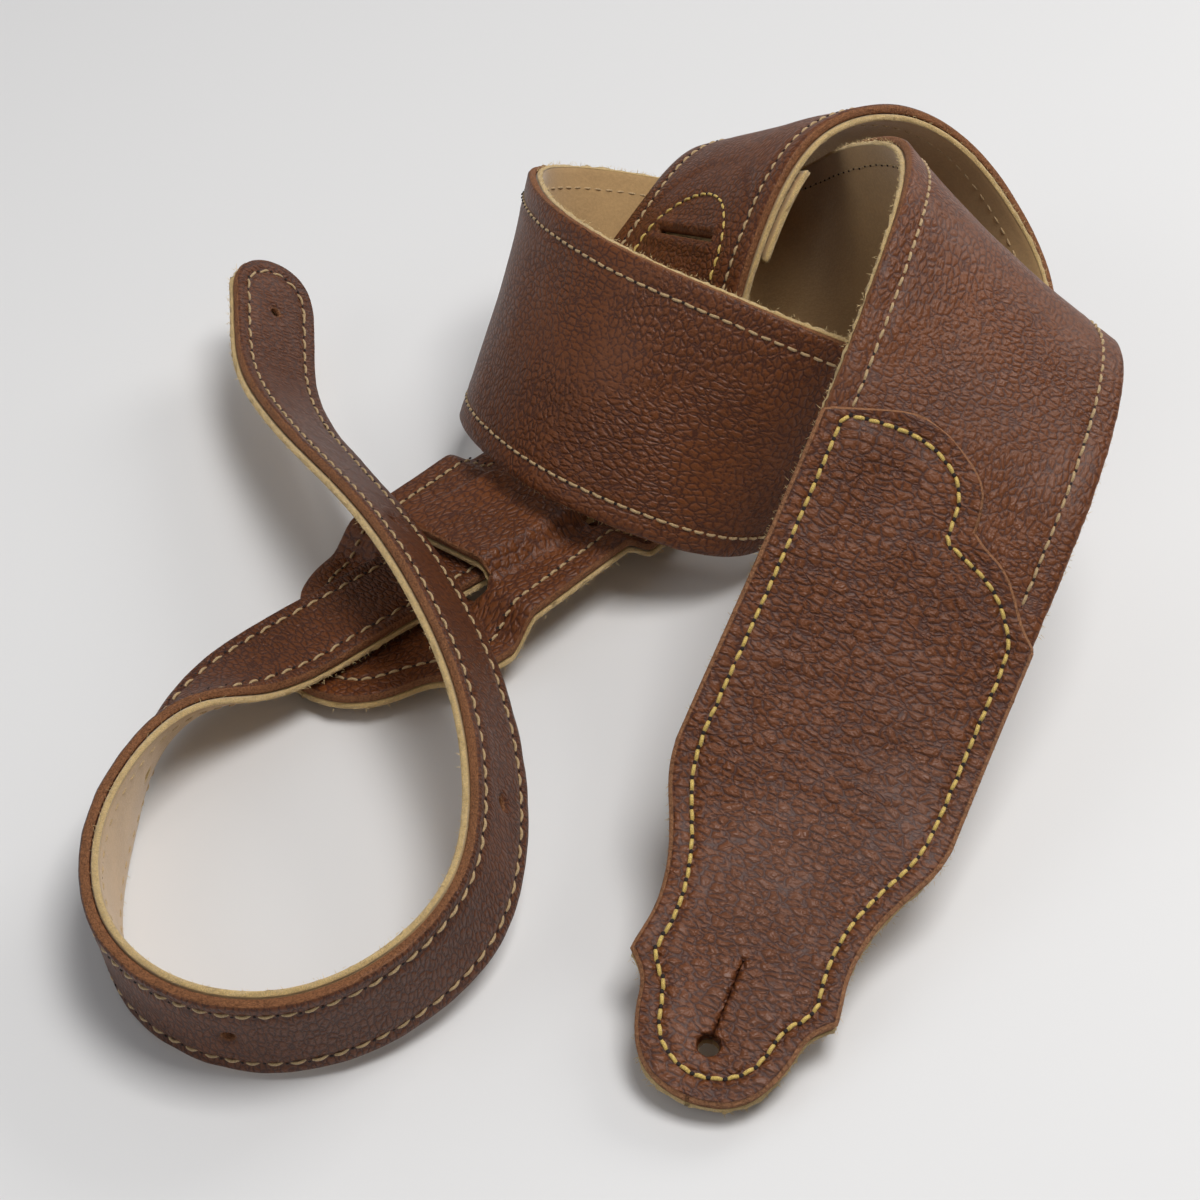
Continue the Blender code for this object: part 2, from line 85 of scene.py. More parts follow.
# x, y, z of the ribbon's middle, then azimuth and elevation of its width
STRAP_LAY = (
    (18, -159, 4, 157, 7), (29.5, -132, 12, 157, 7), (41, -105, 20, 158, 8), (57, -73, 38, 163, 14),
    (73, -45, 61, 165, 15), (87, -17, 82, 168, 20), (95, 14, 90, 168, 34), (93, 38, 81, 160, 46),
    (84, 54, 69, 143, 52), (70, 70, 52, 115, 50), (54, 87, 34, 96, 42), (32, 97, 24, 90, 36),
    (6, 101, 25, 88, 44), (-18, 92, 32, 73, 56), (-25, 69, 42, 51, 60), (-17, 43, 50, 47, 58),
    (-2, 22, 54, 47, 57), (20, 10, 51, 44, 58), (44, 9, 42, 25, 62), (62, 19, 33, -2, 57),
    (75, 32, 26, -16, 46), (87, 51, 22, -22, 36), (95, 74, 24, -23, 39), (94, 95, 33, -33, 48),
    (83, 110.5, 49, -48, 50), (62, 114.5, 64.5, -60, 42), (42, 103, 70, -62, 32), (26, 83, 59, -58, 26),
    (15, 67, 40, -50, 20), (6, 52.5, 20.5, -45, 11), (-2, 41.5, 12.9, -42, 7), (-10, 32, 11.9, -41.5, 6),
    (-23.4, 16.9, 11.9, -41.5, 6), (-36.8, 1.8, 11.9, -41.5, 6), (-50.2, -13.4, 11.9, -41.5, 6),
    (-63.6, -28.5, 11.9, -41.5, 6), (-72, -38, 11.9, -41.5, 6),
)
ADJUSTER_LAY = (
    (-92, 112, 24, -165, 35), (-90, 93, 20, -165, 37), (-87, 70, 17, -165, 40), (-80, 50, 19, -164, 42),
    (-69, 27, 24, -162, 43), (-57, 4, 29, -163, 46), (-45, -20, 32, -164, 50), (-34, -45, 31, -166, 54),
    (-26, -70, 27, -168, 60), (-23, -96, 22, -168, 66), (-27, -120, 19, -160, 72), (-41, -139, 17, -146, 75),
    (-62, -149, 15, -146, 77), (-84, -146, 14, -155, 79), (-102, -130, 13.5, -162, 82),
    (-109, -106, 13.5, -172, 86), (-107, -82, 14, -40, 82), (-100, -60, 14, -38, 56),
    (-88, -42.5, 11.8, -47, 20), (-76, -31.6, 11.2, -49, 6), (-62, -19.4, 11.4, -49, 6),
    (-46, -5.5, 11.7, -49, 6), (-30, 8.4, 12.0, -49, 6), (-14, 22.3, 12.25, -49, 6),
    (-4, 31, 12.45, -49, 6),
)

# distance from an end, half width; a corner is a point that stays sharp
FRONT_OUTLINE = ((0, 0.4), (0.3, 3.6), (1.5, 8), (4, 11.5), (8, 14.3), (14, 16.5), (20, 17.5), (23.5, 19.5),
                 (26.5, 22.6), (30, 22.2), (36, 21.3), (42, 21.5), (50, 23), (58, 26), (65, 29.3), (70, 31),
                 (75, 31.75))
FRONT_NOTCH, OVERLAY_NOTCH = 26.5, 144.0      # rows of the sharp corners
REAR_OUTLINE = ((0, 0.4), (0.4, 4.5), (2, 10), (6, 15.5), (11, 19), (17, 21), (21, 23), (24, 26.5), (28, 29),
                (34, 31), (40, 31.75))
TIP_OUTLINE = ((0, 0.3), (0.2, 2.2), (1, 5), (3, 8.3), (6, 10.8), (10, 12.2), (14, 12.5))
FRONT_SEAM = ((4.6, 0), (5.4, 4), (7.5, 8), (11, 10.8), (16, 12.4), (21, 13.4), (25, 17), (28, 18.2),
              (34, 17.2), (42, 17.2), (50, 18.7), (58, 21.5), (66, 25), (72, 26.7), (80, 27.3))
REAR_SEAM = ((6, 0), (7, 6), (9.5, 10.5), (14, 13.8), (20, 16.3), (25, 20), (30, 23.5), (38, 26))
TIP_SEAM = ((3.6, 0), (4.4, 3.5), (6.5, 6.5), (9.5, 8.4), (14, 9))
OVERLAY_RIGHT = ((125, -31.75), (129, -27), (134, -23.5), (139, -19), (141.5, -13), (144, -9.5), (150, -9),
                 (155, -7), (159, -1.5), (162, 4), (163.5, 10))
OVERLAY_LEFT = ((157, 31.75), (159, 26.5), (161, 21), (163, 15), (163.5, 12))
OVERLAY_CROWN = ((156, 27.3), (158, 25), (159, 17), (159.2, 10), (157, 3), (153, -2.5), (147, -4.5),
                 (140.5, -4.5), (138, -9), (136.5, -14), (133, -20), (127, -25), (122, -27.3))


# --- laying ------------------------------------------------------------------------------------------------
def unit(rows):
    return rows / np.maximum(np.linalg.norm(rows, axis=-1, keepdims=True), 1e-12)


def spline_through(knots, rows, at):
    """Natural cubic spline through rows of values, read at the given parameters."""
    count, step = len(knots), np.diff(knots)
    matrix, right = np.eye(count), np.zeros_like(rows)
    for i in range(1, count - 1):
        matrix[i, i - 1:i + 2] = step[i - 1], 2 * (step[i - 1] + step[i]), step[i]
        right[i] = 6 * ((rows[i + 1] - rows[i]) / step[i] - (rows[i] - rows[i - 1]) / step[i - 1])
    bend = np.linalg.solve(matrix, right)
    i = np.clip(np.searchsorted(knots, at) - 1, 0, count - 2)
    span, a = step[i][:, None], ((knots[i + 1] - at) / step[i])[:, None]
    b = 1 - a
    return (a * rows[i] + b * rows[i + 1]
            + ((a ** 3 - a) * bend[i] + (b ** 3 - b) * bend[i + 1]) * span ** 2 / 6)


class Ribbon:
    """A laid ribbon that turns flat places (along, across, height) into laid ones."""

    def __init__(self, stations, width, face_side):
        rows = np.array(stations, dtype=float)
        azimuth, elevation = np.radians(rows[:, 3]), np.radians(rows[:, 4])
        across = np.stack([np.cos(azimuth) * np.cos(elevation), np.sin(azimuth) * np.cos(elevation),
                           np.sin(elevation)], axis=1)
        middle = rows[:, :3] + np.array(LAY_SHIFT)
        knots = np.concatenate([[0], np.cumsum(np.linalg.norm(np.diff(middle, axis=0), axis=1))])
        fine = np.linspace(0, knots[-1], 4001)
        data = spline_through(knots, np.hstack([middle, across]), fine)
        self.middle = data[:, :3]
        self.run = np.concatenate([[0], np.cumsum(np.linalg.norm(np.diff(self.middle, axis=0), axis=1))])
        self.length, self.width = float(self.run[-1]), width
        along = unit(np.gradient(self.middle, axis=0))
        self.across = unit(data[:, 3:] - (data[:, 3:] * along).sum(1)[:, None] * along)
        self.face = np.cross(along, self.across) * face_side

    def place(self, flat):
        """Laid places, in millimetres, of rows of (along, across, height)."""
        s, v, height = flat[:, 0], flat[:, 1], flat[:, 2]
        if self.width == STRAP_WIDTH:
            height = height + weave_lift(s, v)
        read = [np.stack([np.interp(s, self.run, rows[:, k]) for k in range(3)], axis=1)
                for rows in (self.middle, self.across, self.face)]
        beyond = (s - np.clip(s, 0, self.length))[:, None]
        ahead = np.where(s[:, None] < 0, self.middle[1] - self.middle[0], self.middle[-1] - self.middle[-2])
        return read[0] + read[1] * v[:, None] + read[2] * height[:, None] + unit(ahead) * beyond


def ease(x):
    x = np.clip(x, 0, 1)
    return x * x * (3 - 2 * x)


def adjuster_line(s):
    return ADJUSTER_CROSSING - ADJUSTER_SKEW * (s - SLOT_ROWS[1])


def weave_lift(s, v):
    """The strap bridges over the adjuster between the two rear slots and dips under it outside them."""
    mouth = ease(np.interp(np.abs(v - adjuster_line(s)), WEAVE_MOUTH, (1, 0)))
    away = np.clip(np.maximum(SLOT_ROWS[1] - s, s - SLOT_ROWS[2]) / WEAVE_FADE, 0, 1)
    dip = -WEAVE_DOWN * (mouth + (1 - mouth) * ease(away)) * ease((s - WEAVE_START) / WEAVE_RAMP)
    between = (s > SLOT_ROWS[1]) & (s < SLOT_ROWS[2])
    return np.where(between, WEAVE_UP * mouth, dip)


strap = Ribbon(STRAP_LAY, STRAP_WIDTH, 1)
adjuster = Ribbon(ADJUSTER_LAY, ADJUSTER_WIDTH, -1)


# --- flat outlines and seams -------------------------------------------------------------------------------
def softened(points, corners=(), rounds=2):
    """Cuts the corners off a line of points, except at its ends and where the first value is in corners."""
    line = [tuple(map(float, p)) for p in points]
    for _ in range(rounds):
        cut = [line[0]]
        for i, (a, b) in enumerate(zip(line, line[1:])):
            keep_a, keep_b = i == 0 or a[0] in corners, i == len(line) - 2 or b[0] in corners
            if not keep_a:
                cut.append((0.75 * a[0] + 0.25 * b[0], 0.75 * a[1] + 0.25 * b[1]))
            if not keep_b:
                cut.append((0.25 * a[0] + 0.75 * b[0], 0.25 * a[1] + 0.75 * b[1]))
            else:
                cut.append(b)
        line = cut
    return line


def table(points, corners=()):
    return np.array(softened(points, corners)).T


FRONT_TABLE = table(FRONT_OUTLINE, (FRONT_NOTCH,))
REAR_TABLE = table(REAR_OUTLINE)
TIP_TABLE = table(TIP_OUTLINE)
RIGHT_TABLE = table(OVERLAY_RIGHT, (OVERLAY_NOTCH,))
LEFT_TABLE = table(OVERLAY_LEFT)


def strap_half(s):
    return np.minimum(np.interp(s, *FRONT_TABLE), np.interp(strap.length - s, *REAR_TABLE))


def adjuster_half(s):
    return np.minimum(np.interp(s, *TIP_TABLE), np.interp(adjuster.length - s, *TIP_TABLE))


def end_seam(seam, origin, direction, first_side):
    """A seam round an end, from one side to the other."""
    half = [(origin + direction * d, v) for d, v in reversed(seam)]
    return [(s, v * first_side) for s, v in half] + [(s, -v * first_side) for s, v in reversed(half[:-1])]


OVERLAY_PATH = softened(
    [(s, OVERLAY_SEAM_PLACE) for s in (80.0, 100.0, 130.0)] + list(OVERLAY_CROWN)
    + [(100.0, -OVERLAY_SEAM_PLACE)] + end_seam(FRONT_SEAM, 0, 1, -1), (140.5, 156.0))
BORDER_PATH = softened(
    [(s, SEAM_PLACE) for s in (BORDER_LEFT, 400.0, strap.length - SEAM_TURN)]
    + end_seam(REAR_SEAM, strap.length, -1, 1)
    + [(s, -SEAM_PLACE) for s in (strap.length - SEAM_TURN, 400.0, BORDER_RIGHT)])
ADJUSTER_PATH = softened(
    end_seam(TIP_SEAM, 0, 1, -1) + [(250.0, ADJUSTER_SEAM_PLACE)]
    + end_seam(TIP_SEAM, adjuster.length, -1, 1)
    + [(250.0, -ADJUSTER_SEAM_PLACE), (16.0, -ADJUSTER_SEAM_PLACE)])


def arch(row, reach, half, turns):
    """A half round that bows towards the pin end, from one side of the strap to the other."""
    return [(row - reach * math.sin(a), half * math.cos(a)) for a in turns]


ARCH_PATH = ([(ARCH_END, ARCH_HALF)] + arch(ARCH_ROW, ARCH_REACH, ARCH_HALF, np.linspace(0, math.pi, 25))
             + [(ARCH_END, -ARCH_HALF)])
EMBOSS_PATH = ([(s, EMBOSS_HALF) for s in reversed(EMBOSS_ENDS)]
               + arch(EMBOSS_ROW, EMBOSS_REACH, EMBOSS_HALF,
                      np.linspace(EMBOSS_TURN, math.pi - EMBOSS_TURN, 21))
               + [(s, -EMBOSS_HALF) for s in EMBOSS_ENDS])


def walk(path, step):
    """Even points along a flat path, as rows of (along, across)."""
    points = np.array(path, dtype=float)
    run = np.concatenate([[0], np.cumsum(np.linalg.norm(np.diff(points, axis=0), axis=1))])
    at = np.linspace(0, run[-1], max(2, int(run[-1] / step)))
    return np.stack([np.interp(at, run, points[:, k]) for k in range(2)], axis=1)


def distance_to(path, s, v):
    """Distance of flat places from a path, up to a few millimetres."""
    points = walk(path, 0.4)
    tree = kdtree.KDTree(len(points))
    for i, (a, b) in enumerate(points):
        tree.insert((a, b, 0), i)
    tree.balance()
    found = np.full(s.shape, 9.0)
    low, high = points.min(0) - 4, points.max(0) + 4
    near = (s > low[0]) & (s < high[0]) & (v > low[1]) & (v < high[1])
    found[near] = [tree.find((a, b, 0))[2] for a, b in zip(s[near], v[near])]
    return found


def waves(s, v, size, seed):
    """Smooth irregular waves from -1 to 1, about size millimetres long."""
    source = np.random.default_rng(seed)
    total = np.zeros(np.broadcast(s, v).shape)
    for _ in range(9):
        turn, phase = source.uniform(0, math.tau, 2)
        pitch = size * source.uniform(0.6, 1.6)
        total += np.sin((s * math.cos(turn) + v * math.sin(turn)) * math.tau / pitch + phase)
    return total / 4.5


# --- sheets ------------------------------------------------------------------------------------------------
def row_places(length, step, extra):
    """Places of rows, closer together at the round ends, with the extra ones exactly where they are given."""
    places = list(np.arange(0, length, step)) + [length]
    places += list(END_ROWS) + [length - c for c in END_ROWS]
    extra = sorted(extra)
    kept = [p for p in sorted(places) if all(abs(p - e) > 0.3 * step for e in extra)]
    return np.array(sorted(set(kept) | set(extra)))


def mirrored(*groups):
    """Places across, on both sides of the middle, in order."""
    side = np.concatenate([np.atleast_1d(group) for group in groups])
    return np.array(sorted(set(np.round(np.concatenate([side, -side]), 3))))


def rows_round(place, step, count):
    """Rows on both sides of a hole's middle, and one through it."""
    return [place + k * step for k in range(-count, count + 1)]


def spread(half, full, core, columns):
    """Places across for every row: columns near the middle keep their place, the rest follow the edge."""
    core_now = np.minimum(core, half * 0.5)[:, None]
    c = columns[None, :]
    inside = c * core_now / core
    outside = np.sign(c) * (core_now + (np.abs(c) - core) * (half[:, None] - core_now) / (full - core))
    return np.where(np.abs(c) <= core, inside, outside)


def round_hole(s, v, centre, reach, radius):
    """Moves the points round a hole so that the square of left-out cells becomes a circle."""
    ds, dv = s - centre[0], v - centre[1]
    box, ring = np.maximum(np.abs(ds), np.abs(dv)), np.hypot(ds, dv)
    share = np.where(box > 0.1, radius / np.maximum(ring, 1e-6), 1)
    blend = ease((box - reach) / (reach * 1.3))
    scale = share * (1 - blend) + blend
    scale = np.where(box < reach - 0.01, 1, scale)
    return centre[0] + ds * scale, centre[1] + dv * scale


def cell_middles(s, v):
    return (s[:-1, :-1] + s[1:, 1:]) / 2, (v[:-1, :-1] + v[1:, 1:]) / 2


def pin_opening(s, v, kept):
    """Leaves out the cells of the pin hole and its slit, rounds the hole and narrows the slit."""
    middle_s, middle_v = cell_middles(s, v)
    kept = kept & ~((np.abs(middle_s - FRONT_HOLE) < HOLE_CELLS) & (np.abs(middle_v) < HOLE_CELLS))
    kept &= ~((middle_s > SLIT[0]) & (middle_s < SLIT[1]) & (np.abs(middle_v) < SLIT_CELLS))
    s, v = round_hole(s, v, (FRONT_HOLE, 0), HOLE_CELLS, PIN_HOLE)
    slit = (s > SLIT[0]) & (s < SLIT[1]) & (np.abs(v) < SLIT_POINTS)
    return s, np.where(slit, v * SLIT_NARROWED, v), kept


def laid_sheet(name, ribbon, s, v, kept, low, high, relief, edge_round=0.45, bulge=0.18, fuzz=0.10,
               bevel=0.0, seed=1):
    """A closed sheet over a grid of flat places, with rounded, slightly fibrous cut edges.

    relief is the height added to the upper side, and bevel slopes the cut edge outward on its way down.
    Cells that aren't kept are slots and holes. The points carry their flat place as the attribute lay. The
    attribute cut is highest on the cut edges, and lower in the pin hole and its slit, so that their walls
    take the darker skin colour as painted shade.
    """
    rows, columns = s.shape
    index = np.arange(rows * columns).reshape(rows, columns)
    i, j = np.nonzero(kept)
    quads = np.stack([index[i, j], index[i + 1, j], index[i + 1, j + 1], index[i, j + 1]], axis=1)
    edges = {}
    for a, b in np.concatenate([quads[:, [k, (k + 1) % 4]] for k in range(4)]):
        if (b, a) in edges:
            del edges[(b, a)]
        else:
            edges[(a, b)] = True
    rim = np.array(list(edges))
    flat = np.stack([s.ravel(), v.ravel()], axis=1)
    outward = np.zeros_like(flat)
    run = flat[rim[:, 1]] - flat[rim[:, 0]]
    side = unit(np.stack([run[:, 1], -run[:, 0]], axis=1))
    np.add.at(outward, rim[:, 0], side)
    np.add.at(outward, rim[:, 1], side)
    outward = unit(outward)
    outward[np.abs(outward).sum(1) < 0.5] = 0
    on_rim = np.unique(rim)
    near_rim = np.zeros(len(flat))
    near_rim[on_rim] = 1
    in_slit = ((ribbon is strap) & (flat[:, 0] > FRONT_HOLE - OPENING_REACH) & (flat[:, 0] < SLIT[1] + 1)
               & (np.abs(flat[:, 1]) < OPENING_REACH))
    # in the pin hole and slit the cut value is low, so their walls take the darker skin colour: painted shade
    # in the openings
    edge_mask_with_opening_shade = near_rim * np.where(in_slit, 0.3, 1)
    outer = np.where(in_slit, 0, bevel)
    top = high + relief.ravel() - edge_round * near_rim
    bottom = np.full(len(flat), float(low)) + 0.6 * edge_round * near_rim
    source = np.random.default_rng(seed)
    used = np.unique(quads)
    new_id = np.full(len(flat), -1)
    new_id[used] = np.arange(len(used))
    count = len(used)
    places = [np.column_stack([flat[used], top[used]]),
              np.column_stack([flat[used] + outer[used][:, None] * outward[used], bottom[used]])]
    cuts = [0.75 * edge_mask_with_opening_shade[used], edge_mask_with_opening_shade[used]]
    faces = [new_id[quads], new_id[quads][:, ::-1] + count]
    for share in WALL_SHARES:
        height = top[on_rim] * (1 - share) + bottom[on_rim] * share
        push = outer[on_rim] * share + bulge * math.sin(math.pi * share) + source.normal(0, fuzz, len(on_rim))
        places.append(np.column_stack([flat[on_rim] + outward[on_rim] * push[:, None], height]))
        cuts.append(edge_mask_with_opening_shade[on_rim])
    order = np.full(len(flat), -1)
    order[on_rim] = np.arange(len(on_rim))
    walls = [order[rim] + 2 * count + k * len(on_rim) for k in range(len(WALL_SHARES))]
    levels = [new_id[rim]] + walls + [new_id[rim] + count]
    for upper, lower in zip(levels, levels[1:]):
        faces.append(np.column_stack([upper[:, 1], upper[:, 0], lower[:, 0], lower[:, 1]]))
    flat3 = np.concatenate(places)
    faces = np.concatenate(faces)
    if ribbon.face[0] @ np.cross(ribbon.middle[1] - ribbon.middle[0], ribbon.across[0]) < 0:
        faces = faces[:, ::-1]
    mesh = bpy.data.meshes.new(name)
    mesh.from_pydata((ribbon.place(flat3) * MM).tolist(), [], faces.tolist())
    mesh.attributes.new("lay", "FLOAT_VECTOR", "POINT").data.foreach_set("vector", flat3.ravel())
    mesh.attributes.new("cut", "FLOAT", "POINT").data.foreach_set("value", np.concatenate(cuts))
    mesh.shade_smooth()
    mesh.update()
    piece = bpy.data.objects.new(name, mesh)
    bpy.context.scene.collection.objects.link(piece)
    return piece, (flat[on_rim], outward[on_rim])


def seam_relief(distance, depth=0.34, width=0.85):
    """The groove that a tight seam pulls into the leather, with the leather swelling beside it."""
    return -depth * np.exp(-(distance / width) ** 2) + 0.10 * np.exp(-((distance - 2.6) / 1.3) ** 2)


def strap_grid():
    slots = [row + side * gap / 2 for row, gap in zip(SLOT_ROWS, SLOT_GAPS) for side in (-1, 1)]
    rows = row_places(strap.length, STRAP_STEP,
                      slots + rows_round(FRONT_HOLE, HOLE_CELLS / 2, 2) + [FRONT_NOTCH, *SLIT])
    columns = mirrored(np.arange(0.35, 2.5, 1.025), np.arange(3.7, 31.0, 1.3),
                       [SMALL_SLOT_HALF, 31.2, STRAP_WIDTH / 2])
    v = spread(strap_half(rows), STRAP_WIDTH / 2, STRAP_CORE, columns)
    s = np.repeat(rows[:, None], len(columns), axis=1)
    middle_s, middle_v = cell_middles(s, v)
    kept = np.ones(middle_s.shape, bool)
    for row, gap in zip(SLOT_ROWS, SLOT_GAPS):
        centre, reach = (0, SMALL_SLOT_HALF) if row == SLOT_ROWS[0] else (adjuster_line(row), SLOT_HALF)
        kept &= ~((np.abs(middle_s - row) < gap / 2) & (np.abs(middle_v - centre) < reach))
    return pin_opening(s, v, kept)


def strap_relief(s, v):
    lift = 0.16 * waves(s, v, 26, 11) + 0.07 * waves(s, v * 0.5, 9, 12)
    lift += seam_relief(distance_to(BORDER_PATH, s, v), 0.30)
    lift += seam_relief(distance_to(ARCH_PATH, s, v), 0.30)
    lift -= 0.42 * np.exp(-(distance_to(EMBOSS_PATH, s, v) / 0.9) ** 2)
    lip = np.exp(-((np.abs(s - SLOT_ROWS[0]) - 2.4) / 1.3) ** 2) * (np.abs(v) < SMALL_SLOT_HALF + 2)
    lift += 0.9 * lip
    under = (s < 158) & (np.interp(s, *RIGHT_TABLE) < v)
    return np.where(under, -0.05, lift)


def make_strap():
    s, v, kept = strap_grid()
    face, _ = laid_sheet("strap_face_leather", strap, s, v, kept, FACE_LOW, FACE_HIGH, strap_relief(s, v),
                         seed=21)
    lining, rim = laid_sheet("strap_suede_lining", strap, s, v, kept, BACK_LOW, BACK_HIGH, 0 * s,
                             edge_round=0.3, bulge=0.32, fuzz=0.2, seed=22)
    return face, lining, rim


def adjuster_grid():
    holes = [row for place in ADJUSTER_HOLES for row in rows_round(place, ADJUSTER_HOLE_CELLS, 2)]
    rows = row_places(adjuster.length, ADJUSTER_STEP, holes)
    columns = mirrored(np.arange(0, 5) * ADJUSTER_HOLE_CELLS, np.arange(6, 13), [ADJUSTER_WIDTH / 2])
    v = spread(adjuster_half(rows), ADJUSTER_WIDTH / 2, ADJUSTER_CORE, columns)
    s = np.repeat(rows[:, None], len(columns), axis=1)
    middle_s, middle_v = cell_middles(s, v)
    kept = np.ones(middle_s.shape, bool)
    for place in ADJUSTER_HOLES:
        kept &= ~((np.abs(middle_s - place) < ADJUSTER_HOLE_CELLS) & (np.abs(middle_v) < ADJUSTER_HOLE_CELLS))
        s, v = round_hole(s, v, (place, 0), ADJUSTER_HOLE_CELLS, ADJUSTER_HOLE)
    return s, v, kept


def make_adjuster():
    s, v, kept = adjuster_grid()
    lift = 0.10 * waves(s, v * 0.4, 9, 31) + 0.08 * waves(s, v, 22, 32)
    lift += seam_relief(distance_to(ADJUSTER_PATH, s, v), 0.42, 1.0)
    for place in ADJUSTER_HOLES:
        lift -= 0.5 * np.exp(-(np.hypot(s - place, v) / 2.6) ** 2)
    face, _ = laid_sheet("adjuster_face_leather", adjuster, s, v, kept, FACE_LOW, FACE_HIGH, lift, seed=33)
    lining, rim = laid_sheet("adjuster_suede_lining", adjuster, s, v, kept, BACK_LOW, BACK_HIGH, lift * 0,
                             edge_round=0.3, bulge=0.32, fuzz=0.2, seed=34)
    return face, lining, rim


def overlay_grid():
    end = OVERLAY_RIGHT[-1][0]
    extra = rows_round(FRONT_HOLE, HOLE_CELLS / 3, 3) + [end - c for c in OVERLAY_END_ROWS]
    rows = row_places(end, OVERLAY_STEP, extra + [FRONT_NOTCH, OVERLAY_NOTCH, *SLIT])
    columns = mirrored([0.35, 0.8, 1.6, 2.4], np.arange(3.3, 31.0, 0.95), [31.05, STRAP_WIDTH / 2])
    half = strap_half(rows)
    v = spread(half, STRAP_WIDTH / 2, STRAP_CORE, columns)
    right = np.where(rows < RIGHT_TABLE[0, 0], -half, np.interp(rows, *RIGHT_TABLE))
    left = np.where(rows < LEFT_TABLE[0, 0], half, np.interp(rows, *LEFT_TABLE))
    share = (v + half[:, None]) / (2 * half[:, None])
    v = np.where((rows > RIGHT_TABLE[0, 0])[:, None], right[:, None] + share * (left - right)[:, None], v)
    s = np.repeat(rows[:, None], len(columns), axis=1)
    return pin_opening(s, v, np.ones((len(rows) - 1, len(columns) - 1), bool))


def make_overlay():
    s, v, kept = overlay_grid()
    seam = distance_to(OVERLAY_PATH, s, v)
    folds = ease((s - 55) / 25) * ease((150 - s) / 25)
    lift = 0.14 * waves(s, v * 0.35, 7, 41) * folds + 0.16 * waves(s, v, 24, 42)
    lift += seam_relief(seam, 0.42, 0.9)
    lift -= 0.25 * np.exp(-(np.hypot(s - FRONT_HOLE, v) / 4.0) ** 2)
    lift += 0.35 * ease((seam - 2.2) / 2.0) * (s > 118) * (seam < 8)
    piece, _ = laid_sheet("pin_end_overlay", strap, s, v, kept, OVERLAY_LOW, OVERLAY_HIGH, lift,
                          edge_round=0.4, bulge=0.10, fuzz=0.06, bevel=0.75, seed=43)
    return piece


def make_keeper():
    rows = np.arange(KEEPER_ROWS[0], KEEPER_ROWS[1] + 0.1, KEEPER_STEP)
    columns = np.linspace(-STRAP_WIDTH / 2, STRAP_WIDTH / 2, 56)
    s = np.repeat(rows[:, None], len(columns), axis=1)
    v = np.repeat(columns[None, :], len(rows), axis=0)
    kept = np.ones((len(rows) - 1, len(columns) - 1), bool)
    piece, _ = laid_sheet("slot_keeper_strip", strap, s, v, kept, KEEPER_LOW, KEEPER_HIGH, 0 * s,
                          edge_round=0.3, bulge=0.3, fuzz=0.22, seed=51)
    return piece


